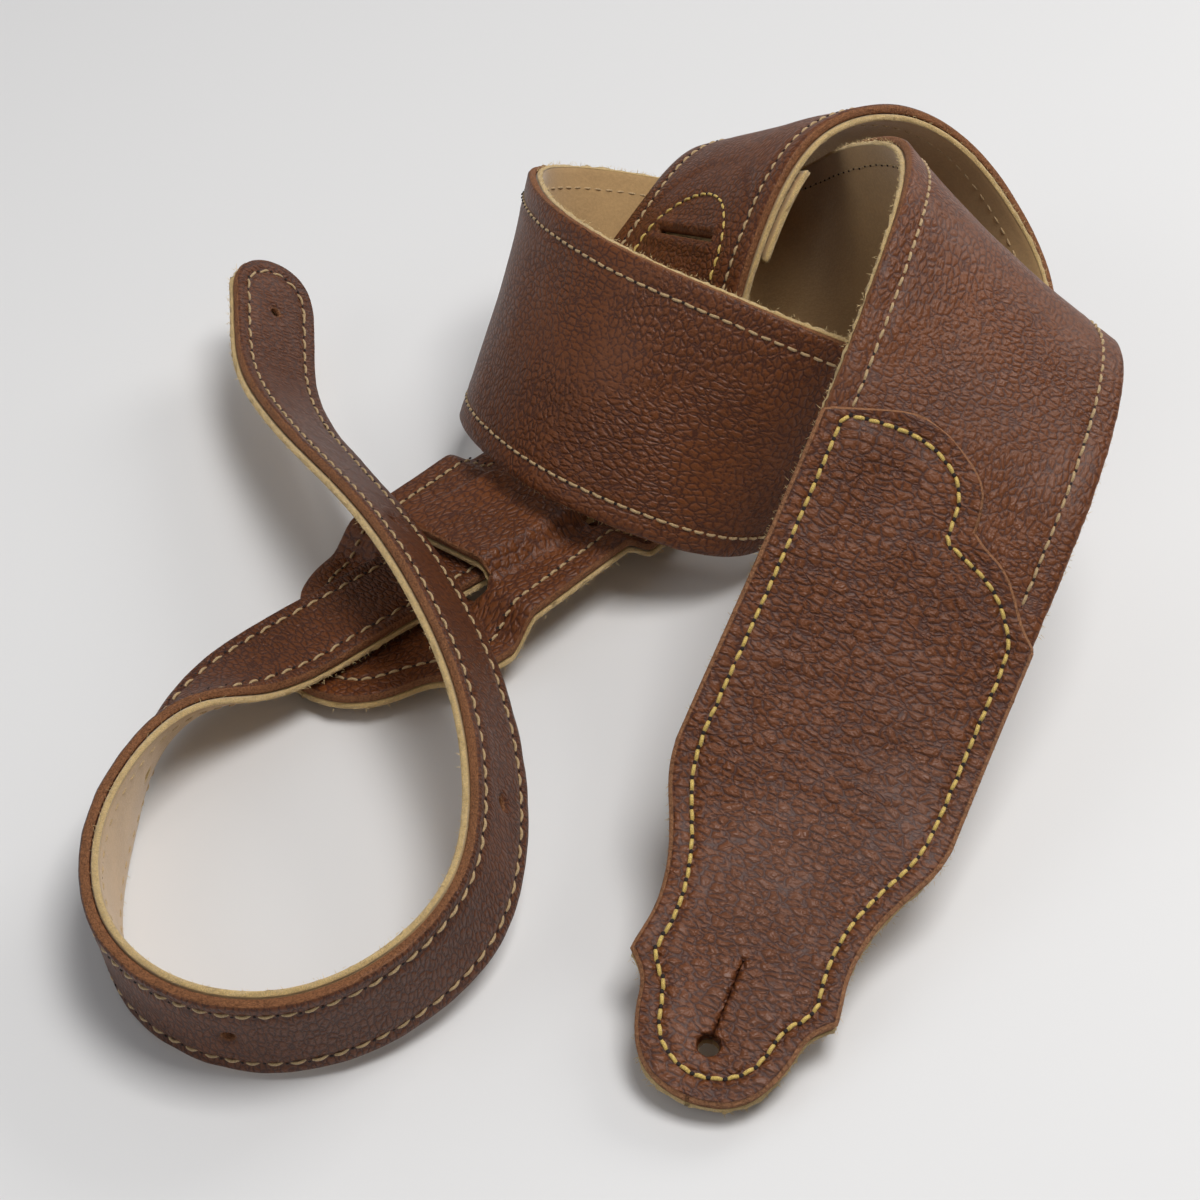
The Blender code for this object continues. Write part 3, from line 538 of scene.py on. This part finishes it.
# --- shading -----------------------------------------------------------------------------------------------
class Shade:
    """A material's node tree, with short ways to add and join nodes."""

    def __init__(self, name):
        self.material = bpy.data.materials.new(name)
        self.material.use_nodes = True
        self.tree = self.material.node_tree
        self.surface = self.tree.nodes["Principled BSDF"]

    def node(self, kind, **values):
        made = self.tree.nodes.new(kind)
        for key, value in values.items():
            if hasattr(made, key):
                setattr(made, key, value)
            else:
                made.inputs[key.replace("_", " ").title()].default_value = value
        return made

    def join(self, source, target):
        self.tree.links.new(source, target)

    def flat_place(self, stretch=(1, 1, 1)):
        """The point's place on the flat strap, in millimetres."""
        place = self.node("ShaderNodeAttribute", attribute_name="lay")
        scaled = self.node("ShaderNodeMapping", vector_type="POINT")
        scaled.inputs["Scale"].default_value = stretch
        self.join(place.outputs["Vector"], scaled.inputs["Vector"])
        return scaled.outputs["Vector"]

    def noise(self, place, size, detail=3, rough=0.55):
        made = self.node("ShaderNodeTexNoise", scale=1 / size, detail=detail, roughness=rough)
        self.join(place, made.inputs["Vector"])
        return made.outputs["Fac"]

    def cells(self, place, size, randomness=0.95):
        made = self.node("ShaderNodeTexVoronoi", feature="DISTANCE_TO_EDGE", scale=1 / size,
                         randomness=randomness)
        self.join(place, made.inputs["Vector"])
        return made.outputs["Distance"]

    def domes(self, place, size):
        """Rounded pebbles that meet in creases, from 0 in the creases to 1 on top."""
        return self.fit(self.cells(place, size), 0.0, 0.34)

    def fit(self, value, low, high, to_low=0.0, to_high=1.0):
        made = self.node("ShaderNodeMapRange", interpolation_type="SMOOTHSTEP")
        limits = (("From Min", low), ("From Max", high), ("To Min", to_low), ("To Max", to_high))
        for key, number in limits:
            made.inputs[key].default_value = number
        self.join(value, made.inputs["Value"])
        return made.outputs["Result"]

    def math(self, operation, a, b):
        made = self.node("ShaderNodeMath", operation=operation)
        for socket, value in zip(made.inputs, (a, b)):
            if isinstance(value, (int, float)):
                socket.default_value = value
            else:
                self.join(value, socket)
        return made.outputs["Value"]

    def mix(self, share, first, second):
        """Between two colours, each a socket or a plain colour."""
        made = self.node("ShaderNodeMix", data_type="RGBA")
        sockets = [s for s in made.inputs if s.type == "RGBA"]
        for socket, value in zip(sockets, (first, second)):
            if isinstance(value, tuple):
                socket.default_value = (*value, 1)
            else:
                self.join(value, socket)
        factor = made.inputs["Factor"]
        if isinstance(share, (int, float)):
            factor.default_value = share
        else:
            self.join(share, factor)
        return next(s for s in made.outputs if s.type == "RGBA")

    def warp(self, place, size, strength):
        """Pushes a place about by a soft noise, so that patterns on it aren't straight."""
        made = self.node("ShaderNodeTexNoise", scale=1 / size, detail=1)
        self.join(place, made.inputs["Vector"])
        shift = self.node("ShaderNodeVectorMath", operation="SUBTRACT")
        self.join(made.outputs["Color"], shift.inputs[0])
        shift.inputs[1].default_value = (0.5, 0.5, 0.5)
        moved = self.node("ShaderNodeVectorMath", operation="MULTIPLY_ADD")
        self.join(shift.outputs[0], moved.inputs[0])
        moved.inputs[1].default_value = (strength, strength, strength)
        self.join(place, moved.inputs[2])
        return moved.outputs[0]

    def scaled(self, value, factor):
        return self.math("MULTIPLY", value, factor)

    def bump(self, height, distance, strength=1.0, under=None):
        made = self.node("ShaderNodeBump")
        made.inputs["Strength"].default_value = strength
        made.inputs["Distance"].default_value = distance * MM
        self.join(height, made.inputs["Height"])
        if under is not None:
            self.join(under, made.inputs["Normal"])
        return made.outputs["Normal"]

    def finish(self, colour, roughness, normal, **fixed):
        self.join(colour, self.surface.inputs["Base Color"])
        if isinstance(roughness, (int, float)):
            self.surface.inputs["Roughness"].default_value = roughness
        else:
            self.join(roughness, self.surface.inputs["Roughness"])
        self.join(normal, self.surface.inputs["Normal"])
        for key, value in fixed.items():
            self.surface.inputs[key.replace("_", " ")].default_value = value
        return self.material


RAW_EDGE = ((0.130, 0.046, 0.017), (0.370, 0.155, 0.060))


def darker(tint, share):
    return tuple(share * c for c in tint)


def grain_leather(name, cell, depth, tint, stretches, edge_tint=RAW_EDGE):
    """Full-grain leather with a pebbled, creased surface and a fibrous cut edge.

    cell is the pebbles' size and depth their height, in millimetres. tint is the painted shade in the
    creases, the colour of the skin and that of its worn tops. Each stretch pulls the pebbles along or across,
    and two of them alternate in wide patches.
    """
    shade = Shade(name)
    plain = shade.flat_place()
    heights = []
    for stretch in stretches:
        place = shade.warp(shade.flat_place(stretch), cell * 1.6, cell * 0.55)
        large = shade.domes(place, cell)
        small = shade.domes(place, cell * 0.5)
        heights.append(shade.math("ADD", shade.scaled(large, 0.76), shade.scaled(small, 0.24)))
    height = heights[0]
    if len(heights) == 2:
        share = shade.fit(shade.noise(plain, 38, 1), 0.42, 0.58)
        keep = shade.math("SUBTRACT", 1.0, share)
        height = shade.math("ADD", shade.math("MULTIPLY", heights[0], keep),
                            shade.math("MULTIPLY", heights[1], share))
    calm = shade.fit(shade.noise(plain, 22, 2), 0.3, 0.62, 0.45, 1.0)
    relief = shade.math("MULTIPLY", height, calm)
    pores = shade.noise(plain, 0.35, 2, 0.6)
    cut = shade.node("ShaderNodeAttribute", attribute_name="cut").outputs["Fac"]
    fibres = shade.noise(shade.flat_place((0.9, 0.9, 2.2)), 0.5, 4, 0.75)
    frayed = shade.scaled(shade.math("SUBTRACT", fibres, 0.5), 0.5)
    on_edge = shade.fit(shade.math("ADD", cut, frayed), 0.35, 0.8)
    blotch = shade.fit(shade.noise(plain, 30, 3), 0.35, 0.65)
    dark, mid, light = tint
    skin = shade.mix(blotch, mid, darker(mid, 0.86))
    # darker in the creases between the pebbles: painted shade
    skin = shade.mix(shade.fit(height, 0.0, 0.42), dark, skin)
    skin = shade.mix(shade.scaled(shade.fit(pores, 0.5, 0.8), 0.35), skin, light)
    edge = shade.mix(shade.fit(fibres, 0.3, 0.7), *edge_tint)
    colour = shade.mix(on_edge, skin, edge)
    rough = shade.math("ADD", shade.scaled(shade.fit(relief, 0.2, 0.9), -0.10), 0.50)
    rough = shade.math("ADD", rough, shade.scaled(shade.math("SUBTRACT", pores, 0.5), 0.16))
    rough = shade.math("ADD", rough, shade.scaled(on_edge, 0.38))
    coarse = shade.bump(relief, depth)
    fine = shade.bump(pores, 0.06, 0.8, coarse)
    hairy = shade.bump(shade.math("MULTIPLY", fibres, on_edge), 0.5, 0.9, fine)
    return shade.finish(colour, rough, hairy, Specular_IOR_Level=0.36, Coat_Weight=0.06, Coat_Roughness=0.3)


def suede(name, flat_tint, edge_tint):
    """Napped suede: a soft matt open side and a lighter, hairy cut edge."""
    shade = Shade(name)
    plain = shade.flat_place()
    nap = shade.noise(plain, 0.8, 5, 0.7)
    patches = shade.noise(plain, 14, 3)
    cut = shade.node("ShaderNodeAttribute", attribute_name="cut").outputs["Fac"]
    hairs = shade.noise(shade.flat_place((1.6, 1.6, 0.8)), 0.45, 5, 0.8)
    on_edge = shade.fit(cut, 0.2, 0.85)
    raised = tuple(1.2 * c for c in flat_tint)
    flat = shade.mix(shade.fit(patches, 0.3, 0.7), darker(flat_tint, 0.86), flat_tint)
    flat = shade.mix(shade.scaled(shade.fit(nap, 0.35, 0.7), 0.5), flat, raised)
    edge = shade.mix(shade.fit(hairs, 0.28, 0.66), darker(edge_tint, 0.55), edge_tint)
    colour = shade.mix(on_edge, flat, edge)
    soft = shade.bump(nap, 0.16, 0.7)
    hairy = shade.bump(shade.math("MULTIPLY", hairs, on_edge), 0.6, 0.9, soft)
    return shade.finish(colour, 0.95, hairy, Specular_IOR_Level=0.15, Sheen_Weight=0.35, Sheen_Roughness=0.5)


def sewing_thread(name, tint, roughness):
    """Twisted thread; its strands show as a fine broken bump."""
    shade = Shade(name)
    place = shade.node("ShaderNodeTexCoord").outputs["Object"]
    strands = shade.noise(place, 0.28 * MM, 3, 0.6)
    worn = shade.noise(place, 6 * MM, 2)
    colour = shade.mix(shade.fit(strands, 0.3, 0.7), darker(tint, 0.5), tint)
    colour = shade.mix(shade.scaled(shade.fit(worn, 0.45, 0.7), 0.35), colour, darker(tint, 0.6))
    return shade.finish(colour, roughness, shade.bump(strands, 0.12, 0.8), Specular_IOR_Level=0.4,
                        Sheen_Weight=0.2)


def plain_finish(name, tint, roughness):
    """One colour with a faint grain, for the painted shade in the needle holes and for the loose fibres."""
    shade = Shade(name)
    place = shade.node("ShaderNodeTexCoord").outputs["Object"]
    grains = shade.noise(place, 0.5 * MM, 3)
    colour = shade.mix(shade.fit(grains, 0.3, 0.7), darker(tint, 0.7), tint)
    return shade.finish(colour, roughness, shade.bump(grains, 0.05, 0.5))


# the first tint of each grain is painted shade in the creases
STRAP_GRAIN = grain_leather("strap_grain_leather", 1.6, 0.42,
                            ((0.060, 0.0150, 0.005), (0.152, 0.0430, 0.0085), (0.190, 0.064, 0.025)),
                            ((1.0, 0.72, 1.0), (0.62, 1.0, 1.0)))
OVERLAY_GRAIN = grain_leather("overlay_grain_leather", 2.25, 0.75,
                              ((0.052, 0.0130, 0.005), (0.153, 0.0445, 0.0105), (0.195, 0.068, 0.030)),
                              ((1.15, 0.72, 1.0),), ((0.24, 0.095, 0.04), (0.46, 0.22, 0.10)))
ADJUSTER_GRAIN = grain_leather("adjuster_grain_leather", 1.6, 0.45,
                               ((0.045, 0.0120, 0.005), (0.122, 0.0350, 0.0085), (0.16, 0.054, 0.024)),
                               ((1.25, 0.6, 1.0),))
SUEDE = suede("suede_lining", (0.45, 0.285, 0.13), (0.86, 0.60, 0.25))
BORDER_THREAD = sewing_thread("border_sewing_thread", (0.58, 0.40, 0.20), 0.6)
GOLD_THREAD = sewing_thread("gold_sewing_thread", (0.80, 0.56, 0.14), 0.45)
# near-black: painted shade in the needle holes
NEEDLE_HOLE_SHADE = plain_finish("needle_puncture", (0.012, 0.005, 0.004), 0.8)
FIBRE = plain_finish("loose_suede_fibre", (0.82, 0.62, 0.32), 0.9)


# --- stitches and fibres, by Geometry Nodes ----------------------------------------------------------------
class Field:
    """A Geometry Nodes tree with named inputs."""

    def __init__(self, name, inputs):
        self.tree = bpy.data.node_groups.new(name, "GeometryNodeTree")
        face = self.tree.interface
        face.new_socket("Geometry", in_out="INPUT", socket_type="NodeSocketGeometry")
        face.new_socket("Geometry", in_out="OUTPUT", socket_type="NodeSocketGeometry")
        for label, kind in inputs:
            face.new_socket(label, in_out="INPUT", socket_type=kind)
        self.source = self.tree.nodes.new("NodeGroupInput")
        self.target = self.tree.nodes.new("NodeGroupOutput")

    def node(self, kind, links=(), **values):
        made = self.tree.nodes.new(kind)
        for key, value in values.items():
            setattr(made, key, value)
        for key, value in links:
            socket = made.inputs[key]
            if hasattr(value, "is_output"):
                self.tree.links.new(value, socket)
            else:
                socket.default_value = value
        return made

    def math(self, operation, a, b):
        return self.node("ShaderNodeMath", ((0, a), (1, b)), operation=operation).outputs[0]

    def vector(self, x, y, z):
        return self.node("ShaderNodeCombineXYZ", ((0, x), (1, y), (2, z))).outputs[0]

    def steps_along(self, step):
        """Points at even steps along the line that comes in, and the turn with x along it and z outward."""
        put = self.source.outputs
        curve = self.node("GeometryNodeMeshToCurve", (("Mesh", put["Geometry"]),)).outputs[0]
        even = self.node("GeometryNodeResampleCurve", (("Curve", curve), ("Length", put[step])),
                         mode="LENGTH").outputs[0]
        facing = self.node("GeometryNodeInputNamedAttribute", (("Name", "facing"),),
                           data_type="FLOAT_VECTOR").outputs[0]
        tangent = self.node("GeometryNodeInputTangent").outputs[0]
        turn = self.node("FunctionNodeAxesToRotation", ((0, facing), (1, tangent)), primary_axis="Z",
                         secondary_axis="X").outputs[0]
        return even, turn

    def random_vector(self, seed, low, high):
        made = self.node("FunctionNodeRandomValue", (("Seed", seed),), data_type="FLOAT_VECTOR")
        made.inputs[0].default_value, made.inputs[1].default_value = low, high
        return made.outputs[0]

    def loosened(self, turn, seed, low, high):
        """A turn with a random small one on top, between two sets of angles."""
        angles = self.random_vector(seed, low, high)
        loose = self.node("FunctionNodeEulerToRotation", ((0, angles),)).outputs[0]
        return self.node("FunctionNodeRotateRotation", ((0, turn), (1, loose)),
                         rotation_space="LOCAL").outputs[0]

    def done(self, placed):
        """Ends the tree with real meshes in the chosen finish."""
        real = self.node("GeometryNodeRealizeInstances", (("Geometry", placed),)).outputs[0]
        finish = ("Material", self.source.outputs["Finish"])
        coated = self.node("GeometryNodeSetMaterial", (("Geometry", real), finish)).outputs[0]
        self.tree.links.new(coated, self.target.inputs[0])
        return self.tree


def stitch_field():
    """Stitches, and the painted shade of the needle holes between them as dark discs, at even steps along a
    curve.
    """
    field = Field("stitch_row", (("Pitch", "NodeSocketFloat"), ("Stitch Length", "NodeSocketFloat"),
                                 ("Thread Width", "NodeSocketFloat"), ("Slant", "NodeSocketFloat"),
                                 ("Punctures", "NodeSocketBool"), ("Finish", "NodeSocketMaterial")))
    put = field.source.outputs
    even, turn = field.steps_along("Pitch")
    half = field.math("MULTIPLY", put["Stitch Length"], 0.5)
    thick = field.math("MULTIPLY", put["Thread Width"], 0.5)
    dip = field.math("MULTIPLY", put["Thread Width"], -0.75)
    rise = field.math("MULTIPLY", put["Thread Width"], 0.95)
    back = field.math("MULTIPLY", half, -1.0)
    bow = field.node("GeometryNodeCurveQuadraticBezier",
                     (("Resolution", 7), ("Start", field.vector(back, 0.0, dip)),
                      ("Middle", field.vector(0.0, 0.0, rise)), ("End", field.vector(half, 0.0, dip))))
    round_thread = field.node("GeometryNodeCurvePrimitiveCircle", (("Resolution", 7), ("Radius", thick)))
    body = field.node("GeometryNodeCurveToMesh",
                      (("Curve", bow.outputs[0]), ("Profile Curve", round_thread.outputs[0]),
                       ("Fill Caps", True))).outputs[0]
    slant = field.vector(0.0, 0.0, put["Slant"])
    slanted = field.node("GeometryNodeTransform", (("Geometry", body), ("Rotation", slant))).outputs[0]
    # a flattened dark ball between the stitches: painted shade in the needle hole
    dot = field.node("GeometryNodeMeshIcoSphere", (("Radius", thick), ("Subdivisions", 2))).outputs[0]
    between = field.vector(field.math("MULTIPLY", put["Pitch"], 0.5), 0.0, 0.0)
    shade_disc = field.node("GeometryNodeTransform", (("Geometry", dot), ("Translation", between),
                                                   ("Scale", (1.15, 0.95, 0.45)))).outputs[0]
    chosen = field.node("GeometryNodeSwitch", (("Switch", put["Punctures"]), ("False", slanted),
                                               ("True", shade_disc)), input_type="GEOMETRY").outputs[0]
    turned = field.loosened(turn, 5, (-0.03, -0.05, -0.10), (0.03, 0.05, 0.10))
    placed = field.node("GeometryNodeInstanceOnPoints", (("Points", even), ("Instance", chosen),
                                                         ("Rotation", turned))).outputs[0]
    return field.done(placed)


def fibre_field():
    """Loose fibres that stand off a cut edge, as thin spikes at random turns and lengths."""
    field = Field("edge_fibres", (("Spacing", "NodeSocketFloat"), ("Fibre Length", "NodeSocketFloat"),
                                  ("Fibre Width", "NodeSocketFloat"), ("Seed", "NodeSocketInt"),
                                  ("Finish", "NodeSocketMaterial")))
    put = field.source.outputs
    even, turn = field.steps_along("Spacing")
    spike = field.node("GeometryNodeMeshCone", (("Vertices", 3), ("Radius Top", 0.0),
                                                ("Radius Bottom", put["Fibre Width"]),
                                                ("Depth", put["Fibre Length"]))).outputs[0]
    turned = field.loosened(turn, put["Seed"], (-1.0, -1.15, 0.0), (1.0, 1.15, 6.28))
    size = field.node("FunctionNodeRandomValue", (("Seed", 3),), data_type="FLOAT")
    size.inputs[2].default_value, size.inputs[3].default_value = 0.35, 1.25
    shift = field.random_vector(9, (-0.0007,) * 3, (0.0007,) * 3)
    moved = field.node("GeometryNodeSetPosition", (("Geometry", even), ("Offset", shift))).outputs[0]
    placed = field.node("GeometryNodeInstanceOnPoints",
                        (("Points", moved), ("Instance", spike), ("Rotation", turned),
                         ("Scale", size.outputs[1]))).outputs[0]
    return field.done(placed)


STITCHES = stitch_field()
FIBRES = fibre_field()


def grown(name, points, facing, tree, **inputs):
    """The mesh that a Geometry Nodes tree grows along a laid line of points."""
    mesh = bpy.data.meshes.new(name)
    links = [(i, i + 1) for i in range(len(points) - 1)]
    mesh.from_pydata((points * MM).tolist(), links, [])
    mesh.attributes.new("facing", "FLOAT_VECTOR", "POINT").data.foreach_set("vector", facing.ravel())
    guide = bpy.data.objects.new(name, mesh)
    bpy.context.scene.collection.objects.link(guide)
    modifier = guide.modifiers.new("grow", "NODES")
    modifier.node_group = tree
    for item in tree.interface.items_tree:
        key = item.name.replace(" ", "_").lower()
        if item.in_out == "INPUT" and key in inputs:
            modifier[item.identifier] = inputs[key]
    graph = bpy.context.evaluated_depsgraph_get()
    grown_mesh = bpy.data.meshes.new_from_object(guide.evaluated_get(graph))
    guide.modifiers.clear()
    guide.data = grown_mesh
    return guide


def seam(name, ribbon, path, height, side, pitch, length, width, slant, finish):
    """One row of stitching with the painted shade of its needle holes, on the side given by 1 (face) or -1
    (suede).
    """
    flat = walk(path, 0.8)
    places = ribbon.place(np.column_stack([flat, np.full(len(flat), height)]))
    above = ribbon.place(np.column_stack([flat, np.full(len(flat), height + side)]))
    facing = unit(above - places)
    sizes = {"pitch": pitch * MM, "stitch_length": length * MM, "thread_width": width * MM, "slant": slant}
    row = grown(name, places, facing, STITCHES, punctures=False, finish=finish, **sizes)
    hole_shades = grown(name + "_punctures", places, facing, STITCHES, punctures=True, finish=NEEDLE_HOLE_SHADE, **sizes)
    return row, hole_shades


def finish_with(piece, material):
    piece.data.materials.clear()
    piece.data.materials.append(material)


def loops_of(rim, ribbon, height):
    """Laid points and outward directions of a sheet's rim, in order along it, one line for each side."""
    flat, outward = rim
    for side in (-1, 1):
        pick = np.flatnonzero((outward[:, 1] * side > 0.3) & (np.abs(flat[:, 1]) > 1.0)
                              & (flat[:, 1] * side > 0))
        order = pick[np.argsort(flat[pick, 0])]
        base = np.column_stack([flat[order] + outward[order] * 0.15, np.full(len(order), height)])
        tip = np.column_stack([flat[order] + outward[order] * 1.15, np.full(len(order), height)])
        laid = ribbon.place(base)
        yield side, laid, unit(ribbon.place(tip) - laid)


def own(piece, body, node, slot):
    """Rides on a body and stands for a node of the frame."""
    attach(piece, body)
    if node:
        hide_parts(node)


strap_face, strap_lining, strap_rim = make_strap()
adjuster_face, adjuster_lining, adjuster_rim = make_adjuster()
overlay = make_overlay()
keeper = make_keeper()
for piece, material in ((strap_face, STRAP_GRAIN), (strap_lining, SUEDE), (adjuster_face, ADJUSTER_GRAIN),
                        (adjuster_lining, SUEDE), (overlay, OVERLAY_GRAIN), (keeper, SUEDE)):
    finish_with(piece, material)

own(strap_face, "strap", "strap_face", "grain_leather")
own(strap_lining, "strap", "strap_backing", "suede")
own(adjuster_face, "adjuster", "adjuster_face", "grain_leather")
own(adjuster_lining, "adjuster", "adjuster_backing", "suede")
own(overlay, "strap", "front_overlay", "overlay_leather")
own(keeper, "strap", "rear_keeper", "suede")

PITCH, ADJUSTER_PITCH = 3.4, 4.7
SUNK, ADJUSTER_SUNK, BACK_SUNK = 0.12, 0.15, 0.05     # how far a row's line lies below the surface

# name, ribbon, path, height, side, pitch, stitch length, thread width, slant, finish, node, slot, body
SEAMS = (
    ("overlay_stitches", strap, OVERLAY_PATH, OVERLAY_HIGH - SUNK, 1, PITCH, 2.5, 0.95, 0.0, GOLD_THREAD,
     "overlay_needle_thread", "gold_thread", "strap"),
    ("overlay_under_stitches", strap, OVERLAY_PATH, BACK_LOW + BACK_SUNK, -1, PITCH, 2.6, 0.7, 0.0,
     GOLD_THREAD, "overlay_bobbin_thread", "gold_thread", "strap"),
    ("border_stitches", strap, BORDER_PATH, FACE_HIGH - SUNK, 1, PITCH, 2.6, 0.75, 0.0, BORDER_THREAD,
     "border_needle_thread", "border_thread", "strap"),
    ("border_under_stitches", strap, BORDER_PATH, BACK_LOW + BACK_SUNK, -1, PITCH, 2.6, 0.6, 0.0,
     BORDER_THREAD, "border_bobbin_thread", "border_thread", "strap"),
    ("slot_arch_stitches", strap, ARCH_PATH, FACE_HIGH - SUNK, 1, PITCH, 2.6, 0.75, 0.0, GOLD_THREAD,
     "slot_arch_thread", "border_thread", "strap"),
    ("adjuster_stitches", adjuster, ADJUSTER_PATH, FACE_HIGH - ADJUSTER_SUNK, 1, ADJUSTER_PITCH, 3.2, 0.7,
     0.16, BORDER_THREAD, "adjuster_needle_thread", "border_thread", "adjuster"),
    ("adjuster_under_stitches", adjuster, ADJUSTER_PATH, BACK_LOW + BACK_SUNK, -1, ADJUSTER_PITCH, 3.2, 0.6,
     0.0, BORDER_THREAD, "adjuster_bobbin_thread", "border_thread", "adjuster"),
)
for *stitching, node, slot_name, body in SEAMS:
    row, hole_shades = seam(*stitching)
    own(row, body, node, slot_name)
    own(hole_shades, body, None, slot_name)

FIBRE_HEIGHT = -1.3                           # in the middle of the lining's cut edge
for body, ribbon, rim in (("strap", strap, strap_rim), ("adjuster", adjuster, adjuster_rim)):
    for side, points, outward in loops_of(rim, ribbon, FIBRE_HEIGHT):
        hairs = grown(f"{body}_edge_fibres_{'left' if side > 0 else 'right'}", points, outward, FIBRES,
                      spacing=0.28 * MM, fibre_length=1.15 * MM, fibre_width=0.07 * MM, seed=17 + side,
                      finish=FIBRE)
        own(hairs, body, None, "suede")


# --- floor, light and camera -------------------------------------------------------------------------------
DAYLIGHT = (1.0, 0.985, 0.965)


def add_floor():
    mesh = bpy.data.meshes.new("floor")
    reach = 40.0
    mesh.from_pydata([(-reach, -reach, 0), (reach, -reach, 0), (reach, reach, 0), (-reach, reach, 0)], [],
                     [(0, 1, 2, 3)])
    floor = bpy.data.objects.new("floor", mesh)
    bpy.context.scene.collection.objects.link(floor)
    material = bpy.data.materials.new("pale_floor")
    material.use_nodes = True
    surface = material.node_tree.nodes["Principled BSDF"]
    surface.inputs["Base Color"].default_value = (0.74, 0.74, 0.745, 1)
    surface.inputs["Roughness"].default_value = 0.55
    mesh.materials.append(material)


def add_light(name, place, size, power, tint=(1, 1, 1)):
    light = bpy.data.lights.new(name, "AREA")
    light.shape, light.size, light.energy, light.color = "SQUARE", size, power, tint
    lamp = bpy.data.objects.new(name, light)
    bpy.context.scene.collection.objects.link(lamp)
    lamp.location = place
    lamp.rotation_euler = (Vector((0, 0, 0.03)) - Vector(place)).to_track_quat("-Z", "Y").to_euler()


def add_camera():
    camera = bpy.data.objects.new("camera", bpy.data.cameras.new("camera"))
    bpy.context.scene.collection.objects.link(camera)
    camera.data.sensor_width, camera.data.lens = 36.0, 77.025
    target = Vector(LAY_SHIFT) * MM
    elevation, distance = math.radians(42), 0.650
    camera.location = target + distance * Vector((0, -math.cos(elevation), math.sin(elevation)))
    camera.rotation_euler = (math.pi / 2 - elevation, 0, 0)
    camera.data.clip_end = 120
    bpy.context.scene.camera = camera


add_floor()
add_camera()
add_light("key_softbox", (0.30, -0.10, 1.25), 0.55, 11.5, DAYLIGHT)
add_light("back_window", (0.75, 0.85, 0.75), 0.6, 5, DAYLIGHT)
add_light("left_fill", (-1.1, -0.6, 0.8), 0.8, 2.6)
world = bpy.data.worlds.new("soft_room")
world.use_nodes = True
world.node_tree.nodes["Background"].inputs["Color"].default_value = (0.97, 0.98, 1.0, 1)
world.node_tree.nodes["Background"].inputs["Strength"].default_value = 0.25
bpy.context.scene.world = world
bpy.context.scene.view_settings.view_transform = "Standard"
